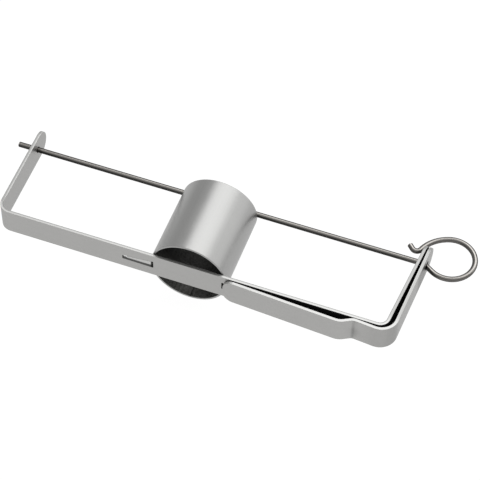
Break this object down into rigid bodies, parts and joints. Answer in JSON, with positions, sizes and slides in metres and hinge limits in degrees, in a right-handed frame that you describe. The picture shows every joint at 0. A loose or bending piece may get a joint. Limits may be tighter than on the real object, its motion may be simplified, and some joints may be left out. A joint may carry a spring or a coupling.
{
  "type": "test tube holder",
  "caption": "Strap frame with upturned arms, a central open sleeve for a tube, a spring belt clip leaf and a removable retaining pin with finger ring and snap hook.",
  "frame": {"origin": "on the sleeve's axis, at the sleeve's base end", "axes": "+X along the strap's base towards the finger ring, +Y along the sleeve's axis from the base towards the pin, +Z across the strap's width, up as the holder lies"},
  "size_m": [0.2446, 0.0745, 0.04],
  "materials": {
    "strap_steel": "satin stainless strip, bright sheared edges",
    "sleeve_steel": "satin stainless tube",
    "wire_steel": "drawn stainless spring wire, polished"
  },
  "bodies": {
    "frame": {"frame_strap": "strap_steel", "holder_tube": "sleeve_steel", "clip_strap": "strap_steel"},
    "leaf": {"clip_leaf": "strap_steel"},
    "pin": {"pin_wire": "wire_steel"},
    "tail": {"ring_tail": "wire_steel"}
  },
  "joints": [
    {"name": "leaf_flex", "type": "hinge", "parent": "frame", "child": "leaf", "pos_m": [0.08313, -0.0043, 0], "axis": [0, 0, 1], "range_deg": [0, 6], "stiffness_Nm_per_rad": 1.5},
    {"name": "pin_slide", "type": "slide", "parent": "frame", "child": "pin", "axis": [1, 0, 0], "range_m": [0, 0.222]},
    {"name": "tail_flex", "type": "hinge", "parent": "pin", "child": "tail", "pos_m": [0.13089, 0.0512, 0], "axis": [0, 0, -1], "range_deg": [0, 12], "stiffness_Nm_per_rad": 2}
  ]
}
